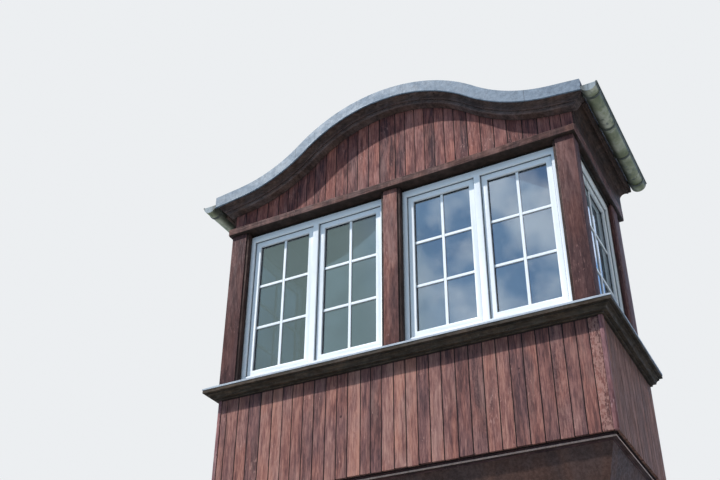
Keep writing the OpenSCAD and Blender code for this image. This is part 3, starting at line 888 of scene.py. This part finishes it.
# %% [markdown]
# The two sides mirror each other in their build but not in their grain, so each draws its own seeds.
# A Mirror modifier would halve the work and show twice the same boards.

# %% Apron sides
SIDE_BOARD_W = 0.112
for word, sign in (("left", -1), ("right", 1)):
    outer_x, inner_x = sign * (SIDE_X - BOARD_T), sign * (room_high.x + BOARD_T)
    joints = even_joints(0.0, -(FACE_Y + BEAD), SIDE_BOARD_W, seed=40 + sign, mirrored=sign > 0)
    dress(boarding(f"apron_boards_{word}", joints, FOOT_Z, sill_line,
                   wall((outer_x, 0, 0), sign * 90), seed=50 + sign, uneven=UNEVEN),
          side_shade_stain, f"apron_{word}")
    dress(core_of(f"apron_{word}", f"apron_core_{word}",
                  ((outer_x, 0, 0), (sign, 0, 0)), ((inner_x, 0, 0), (-sign, 0, 0))), stained_post)
    joints = even_joints(0.0, -room_low.y, LINING_W, seed=60 + sign, mirrored=sign < 0)
    dress(boarding(f"apron_lining_{word}", joints, room_high.z, sill_line,
                   wall((inner_x, 0, 0), -sign * 90), seed=70 + sign), stained_board)

# %% [markdown]
# A bead covers each front corner. It is a square stick whose outer edge is rounded in four steps. A
# sharp edge looks drawn, and a rounded one catches the light, so all timber is rounded a little.

# %% Corner beads
BEAD_PROUD = 0.006
BEAD_ROUND = 0.012


def round_edges(thing, width, angle=30):
    only(thing)
    bevel = thing.modifiers.new("rounding", "BEVEL")
    bevel.width = width
    bevel.segments = 2
    bevel.limit_method = "ANGLE"
    bevel.angle_limit = math.radians(angle)
    bpy.ops.object.modifier_apply(modifier=bevel.name)
    bpy.ops.object.shade_smooth_by_angle(angle=math.radians(angle))
    return thing


def corner_bead(name, sign):
    x0, x1 = sorted((sign * (SIDE_X - BEAD), sign * (SIDE_X + BEAD_PROUD)))
    made = block(name, (x0, FACE_Y - BEAD_PROUD, FOOT_Z + 0.001), (x1, FACE_Y + BEAD, SILL_Z))
    edit(made)
    pick(made, "EDGE", lambda e: all(v.co.x * sign > SIDE_X and v.co.y < FACE_Y for v in e.verts))
    bpy.ops.mesh.bevel(offset=BEAD_ROUND, segments=4)
    leave()
    return round_edges(made, 0.002, 40)


for word, sign in (("left", -1), ("right", 1)):
    dress(corner_bead(f"corner_bead_{word}", sign), bead_stain)
print("corner beads", round(BEAD + BEAD_PROUD, 3), "wide")

# %% [markdown]
# ## Gable
# The gable's boards run up behind the swan-neck fascia. Their upper ends follow the same line as the
# roof: a convex crown, a concave neck and a straight tail. The line could be read off the CAD mesh
# point by point, but its radii and angles say the same at any x.

# %% The swan-neck line
CROWN_R, NECK_R = 1.45, 1.3
NECK_SLOPE, TAIL_SLOPE = math.radians(40), math.radians(6.5)
ROOF_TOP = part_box("verge_crown")[1].z
CROWN_Z = ROOF_TOP - CROWN_R
NECK_X = CROWN_R * math.sin(NECK_SLOPE)
TAIL_X = NECK_X + NECK_R * (math.sin(NECK_SLOPE) - math.sin(TAIL_SLOPE))
NECK_CX = TAIL_X + NECK_R * math.sin(TAIL_SLOPE)
NECK_CZ = CROWN_Z + (CROWN_R + NECK_R) * math.cos(NECK_SLOPE)
TAIL_Z = NECK_CZ - NECK_R * math.cos(TAIL_SLOPE)


def roof_line(x):
    x = abs(x)
    if x <= NECK_X:
        return CROWN_Z + math.sqrt(CROWN_R ** 2 - x ** 2)
    if x <= TAIL_X:
        return NECK_CZ - math.sqrt(NECK_R ** 2 - (NECK_CX - x) ** 2)
    return TAIL_Z - (x - TAIL_X) * math.tan(TAIL_SLOPE)


print("crown", round(ROOF_TOP, 4), "tail meets neck at", round(TAIL_X, 4), round(TAIL_Z, 4))

# %% [markdown]
# Thirty boards fill the gable. Each is cut off straight between the line's heights at its two
# edges, as a joiner would cut it, and the fascia hides the cuts. The lining behind ends higher.

# %% Gable boards
GABLE_JOINTS = [
    -1.750, -1.627, -1.500, -1.373, -1.245, -1.141, -1.031, -0.929, -0.838, -0.716, -0.602, -0.474,
    -0.364, -0.245, -0.125, 0.041, 0.145, 0.244, 0.344, 0.447, 0.547, 0.645, 0.774, 0.900, 1.027,
    1.149, 1.291, 1.430, 1.542, 1.640, 1.750]
HIDDEN_TOP = 0.085
LINING_TOP = 0.062
LINING_X = 1.68
gable_low, gable_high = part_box("gable_panel")
GABLE_BACK = gable_high.y - BOARD_T

dress(boarding("gable_boards", GABLE_JOINTS, gable_low.z, lambda x: roof_line(x) - HIDDEN_TOP,
               front_wall, seed=31), gable_stain, "gable_panel")
dress(core_of("gable_panel", "gable_core",
              ((0, CORE_FRONT, 0), (0, -1, 0)), ((0, GABLE_BACK, 0), (0, 1, 0))), stained_post)
joints = even_joints(-LINING_X, LINING_X, LINING_W, seed=5)
dress(boarding("gable_lining", joints, gable_low.z, lambda x: roof_line(x) - LINING_TOP,
               wall((0, GABLE_BACK, 0), 180), seed=32), stained_board)

# %% [markdown]
# ## Floor
# Floorboards lie across the bay. The same blank serves: the row is turned face up.

# %% Floorboards
FLOOR_BOARD_W = 0.14
DECK_Z = room_high.z - BOARD_T
flat = Matrix.Translation((0, 0, DECK_Z)) @ Matrix.Rotation(math.pi / 2, 4, "Z")
flat = flat @ Matrix.Rotation(-math.pi / 2, 4, "X")
joints = even_joints(room_low.y, 0.0, FLOOR_BOARD_W, seed=7)
boards = boarding("floor_boards", joints, -room_high.x, lambda x: room_high.x, flat, seed=33,
                  proud=0.0006)
core = core_of("floor_deck", "floor_core", ((0, 0, DECK_Z), (0, 0, 1)))
dress(boards, stained_board, "floor_deck", slot="dark_stained_wood")
dress(core, base_stain, slot="dark_stained_wood")
print("floor top", round(boards.bound_box[6][2], 4))

# %% [markdown]
# ## Posts, mouldings and frames
# These keep the CAD shape, and only their edges are rounded by a few millimetres, as a plane leaves
# them. The stop strips that cover the frames are part of the posts' meshes, so their faces are found by
# place and get a second, much darker material: a painted shadow of the posts on them.

# %% Rounded timber
def second_finish(piece, material, test):
    """Gives the faces whose middle passes the test a finish of their own."""
    piece.data.materials.append(material)
    chosen = [face for face in piece.data.polygons if test(face.center, face.normal)]
    for face in chosen:
        face.material_index = 1
    print(piece.name, len(chosen), "of", len(piece.data.polygons), "faces in", material.name)


STOP_W, POST_ROUND, MOULDING_ROUND = 0.025, 0.004, 0.003
POSTS = {"corner_post_left": stained_post, "corner_post_right": stained_post,
         "centre_post": centre_stain, "wall_post_left": stained_post, "wall_post_right": stained_post}
ON_STOP = {
    "centre_post": lambda at, low, high: abs(at.x) > high.x - STOP_W - 0.001,
    "corner_post_left": lambda at, low, high: at.x > high.x - STOP_W or at.y > high.y - STOP_W,
    "corner_post_right": lambda at, low, high: at.x < low.x + STOP_W or at.y > high.y - STOP_W}
for name, material in POSTS.items():
    piece = round_edges(cad_copy(name, name + "_planed"), POST_ROUND)
    dress(piece, material, name)
    low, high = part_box(name)
    if name in ON_STOP:
        second_finish(piece, stop_shadow_stain, lambda at, n: ON_STOP[name](at, low, high))
piece = round_edges(cad_copy("header_moulding", "header_moulding_planed"), MOULDING_ROUND)
dress(piece, level_stain, "header_moulding")

# %% [markdown]
# A ledge runs round the foot of the boards. Its narrow lip is bare and pale where water drips from it,
# and the recess above the lip has the dark ring stain. The top of the lip keeps that dark stain too, as
# a painted shadow of the boards above. Bisect draws an edge round the lip, so that the pale finish ends
# in a clean line.

# %% Base ring
LIP_FOOT, LIP_SHADOW_FOOT = 0.038, 0.024
NEAR = 0.0005
ring = cad_copy("base_ring", "base_ring_moulded")
edit(ring, "SELECT")
bpy.ops.mesh.bisect(plane_co=(0, 0, FOOT_Z - LIP_SHADOW_FOOT), plane_no=(0, 0, 1))
leave()
round_edges(ring, 0.002)
dress(ring, ring_stain, "base_ring", slot="dark_stained_wood")
# Only the lower part of the lip gets the pale metal. Its top keeps the dark ring stain as a painted
# shadow of the boards.
second_finish(ring, drip_metal, lambda at, n: FOOT_Z - LIP_FOOT - NEAR < at.z < FOOT_Z - LIP_SHADOW_FOOT + NEAR
              and n.z > -0.8 and min(abs(n.x), abs(n.y)) < 0.8)

# %% [markdown]
# Window profiles come out of a mould, which rounds their edges. One loop serves the frames and the
# sashes.

# %% Rounded window profiles
PROFILE_ROUND = 0.003
WINDOWS = ("front_left", "front_right", "side_left", "side_right")
for window in WINDOWS:
    leaf = "sashes" if window.startswith("front") else "sash"
    for part in ("frame", leaf):
        name = f"{window}_{part}"
        piece = round_edges(cad_copy(name, name + "_moulded"), PROFILE_ROUND)
        dress(piece, white_profile, name, slot="white_frames")
print("windows rounded:", len(WINDOWS))

# %% [markdown]
# ## Roof seams
# Sheet zinc is laid in bays, and the bays are folded together in upstanding seams. On this roof they
# follow the swan-neck from gutter to gutter. Each seam starts as a bar, is divided along its length
# and is then laid on the line of the roof. A Curve modifier could bend it too, but would need a
# curve of its own.

# %% Standing seams
SEAM_W, SEAM_H, SEAM_SUNK = 0.01, 0.006, 0.001
SEAM_TAPER = 0.6
SEAM_PIECES = 120
SEAM_SHARES = (0.03, 0.36, 0.69)
zinc_low, zinc_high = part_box("roof_zinc")
sheet_drop = ROOF_TOP - zinc_high.z
reach = zinc_high.x - 0.004


def roof_seam(y):
    made = block("seam", (-reach, y - SEAM_W / 2, -SEAM_SUNK), (reach, y + SEAM_W / 2, SEAM_H))
    edit(made)
    pick(made, "EDGE", lambda e: abs(e.verts[0].co.x - e.verts[1].co.x) > 1)
    bpy.ops.mesh.subdivide(number_cuts=SEAM_PIECES)
    leave()
    for vertex in made.data.vertices:
        if vertex.co.z > 0:
            vertex.co.y = y + (vertex.co.y - y) * SEAM_TAPER
        vertex.co.z += roof_line(vertex.co.x) - sheet_drop
    return made


SEAM_Y = [zinc_high.y - (zinc_high.y - zinc_low.y) * share for share in SEAM_SHARES]
dress(join("roof_seams", [roof_seam(y) for y in SEAM_Y]), roof_zinc, slot="zinc")
print("zinc lies", round(sheet_drop * 1000, 1), "mm below the verge, seams:", len(SEAM_Y))

# %% [markdown]
# ## Glazing bars and seals
# Each pane is divided by one upright and two level bars, outside and inside. A thin black seal runs
# round each pane, and a grey gasket where the sash shuts against its frame. They are modelled in
# the plane of a window, so that one drawing serves all four.

# %% Window layout
FRAME_W, MULLION_W, SASH_W = 0.062, 0.057, 0.058
PANE_FRONT, PANE_BACK = 0.05, 0.074
TO_THE_SIDE = Matrix(((0, 1, 0, 0), (1, 0, 0, 0), (0, 0, 1, 0), (0, 0, 0, 1)))


def openings(window):
    """The glass openings of a window as (start, end) along its wall, with its foot and top."""
    low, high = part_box(f"{window}_frame")
    if window.startswith("front"):
        start, end, count = low.x, high.x, 2
    else:
        start, end, count = low.y, high.y, 1
    width = (end - start - 2 * FRAME_W - (count - 1) * MULLION_W) / count
    found = []
    for index in range(count):
        left = start + FRAME_W + index * (width + MULLION_W)
        found.append((left + SASH_W, left + width - SASH_W))
    return found, low.z + FRAME_W + SASH_W, high.z - FRAME_W - SASH_W


def window_plane(window):
    """Matrix from the window's own plane (along, depth behind the frame's face, up) to its wall."""
    low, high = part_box(f"{window}_frame")
    if window.startswith("front"):
        return Matrix.Translation((0, low.y, 0))
    if window == "side_right":
        return Matrix.Translation((high.x, 0, 0)) @ Matrix.Rotation(math.pi / 2, 4, "Z")
    return Matrix.Translation((low.x, 0, 0)) @ TO_THE_SIDE


# %% [markdown]
# A bar is a flat strip, chamfered on the side that shows. A seal is a slab whose two faces are
# inset and then bridged, which leaves a ring. Four strips would show their joints.

# %% Bars and seals
BAR_W, BAR_T, BAR_CHAMFER = 0.026, 0.009, 0.003
SEAL_W, SEAL_T = 0.006, 0.004
LIP = 0.024


def glazing_bar(low, high, outside):
    made = block("bar", low, high)
    face_y = low[1] if outside else high[1]
    edit(made)
    pick(made, "FACE", lambda f: all(abs(v.co.y - face_y) < 1e-5 for v in f.verts))
    bpy.ops.mesh.bevel(offset=BAR_CHAMFER, segments=2)
    leave()
    return made


def seal_ring(start, end, foot, top, y0, y1):
    made = block("seal", (start, y0, foot), (end, y1, top))
    edit(made)
    pick(made, "FACE", lambda f: abs(f.normal.y) > 0.9)
    bpy.ops.mesh.inset(thickness=SEAL_W, use_individual=True)
    bpy.ops.mesh.bridge_edge_loops()
    leave()
    return made


def bars_of(start, end, foot, top, outside):
    y0, y1 = (PANE_FRONT - BAR_T, PANE_FRONT) if outside else (PANE_BACK, PANE_BACK + BAR_T)
    middle = (start + end) / 2
    made = [glazing_bar((middle - BAR_W / 2, y0, foot), (middle + BAR_W / 2, y1, top), outside)]
    for third in (1, 2):
        z = foot + (top - foot) * third / 3
        for x0, x1 in ((start, middle - BAR_W / 2), (middle + BAR_W / 2, end)):
            made.append(glazing_bar((x0, y0, z - BAR_W / 2), (x1, y1, z + BAR_W / 2), outside))
    return made


# %% [markdown]
# The left window's plane is a mirror image of the right one's. Mirroring turns a mesh inside out, so
# its faces are flipped back.

# %% Glazing of each window
for window in WINDOWS:
    spans, foot, top = openings(window)
    bars, seals, gaskets = [], [], []
    for start, end in spans:
        for outside in (True, False):
            y0, y1 = (PANE_FRONT - SEAL_T, PANE_FRONT) if outside else (PANE_BACK, PANE_BACK + SEAL_T)
            bars += bars_of(start, end, foot, top, outside)
            seals.append(seal_ring(start, end, foot, top, y0, y1))
        gaskets.append(seal_ring(start - SASH_W, end + SASH_W, foot - SASH_W, top + SASH_W,
                                 LIP - SEAL_T, LIP))
    for label, parts, material in (("bars", bars, white_profile), ("seals", seals, black_seal),
                                   ("gaskets", gaskets, grey_seal)):
        piece = join(f"{window}_{label}", parts)
        piece.data.transform(window_plane(window))
        if window == "side_left":
            piece.data.flip_normals()
        dress(piece, material, slot="white_frames")
    print(window, len(spans), "panes", len(bars), "bars")

# %% [markdown]
# ## Finishes on the CAD nodes that stay
# The nodes whose shape is right keep it, and only their material slots are filled.

# %% Assign finishes
FINISHES = {
    base_stain: ("base_plate", "base_skirt", "roof_deck"),
    level_stain: ("frieze_left", "frieze_right"),
    sill_stain: ("sill_cornice",),
    cover_metal: ("sill_cover",),
    beam_shade_stain: ("header_beam",),
    eaves_shade_stain: ("eaves_mould_left", "eaves_mould_right"),
    fascia_stain: ("fascia_crown", "fascia_left", "fascia_right"),
    roof_zinc: ("verge_crown", "verge_left", "verge_right", "roof_zinc"),
    gutter_zinc: ("gutter_left", "gutter_right"),
    strap_zinc: ("gutter_brackets_left", "gutter_brackets_right"),
    pane_glass: ("front_left_panes", "front_right_panes", "side_left_pane", "side_right_pane"),
}


def finish_node(name, material):
    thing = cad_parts[name]
    if not thing.material_slots:
        thing.data.materials.append(material)
    for slot in thing.material_slots:
        slot.material = material


for material, names in FINISHES.items():
    for name in names:
        finish_node(name, material)
print("finished nodes:", sum(len(names) for names in FINISHES.values()))

# %% [markdown]
# ## Stage
# The floor lies well below the bay. It looks pale but throws little light back, so that the
# underside of the bay stays in the shade.

# %% Floor
FLOOR_Z, FLOOR_SIZE, FLOOR_ROUGH = -4.2, 60, 0.9
FLOOR_LOW, FLOOR_SEEN = (0.36, 0.37, 0.36, 1), (0.58, 0.54, 0.49, 1)
bpy.ops.mesh.primitive_plane_add(size=FLOOR_SIZE, location=(0, 0, FLOOR_Z))
floor = named(bpy.context.object, "floor")
ground, tree, surface = new_material("pale_floor")
rays = node("LightPath", tree=tree).outputs
seen = math_of("MAXIMUM", rays["Is Camera Ray"], rays["Is Transmission Ray"])
fill(surface, **{"Base Color": mix_colour(seen, FLOOR_LOW, FLOOR_SEEN), "Roughness": FLOOR_ROUGH})
floor.data.materials.append(ground)

# %% [markdown]
# ## Clear the bench and finish
# The blank board was only a pattern.

# %% Finish
bpy.data.objects.remove(blank)
bpy.ops.object.select_all(action="DESELECT")
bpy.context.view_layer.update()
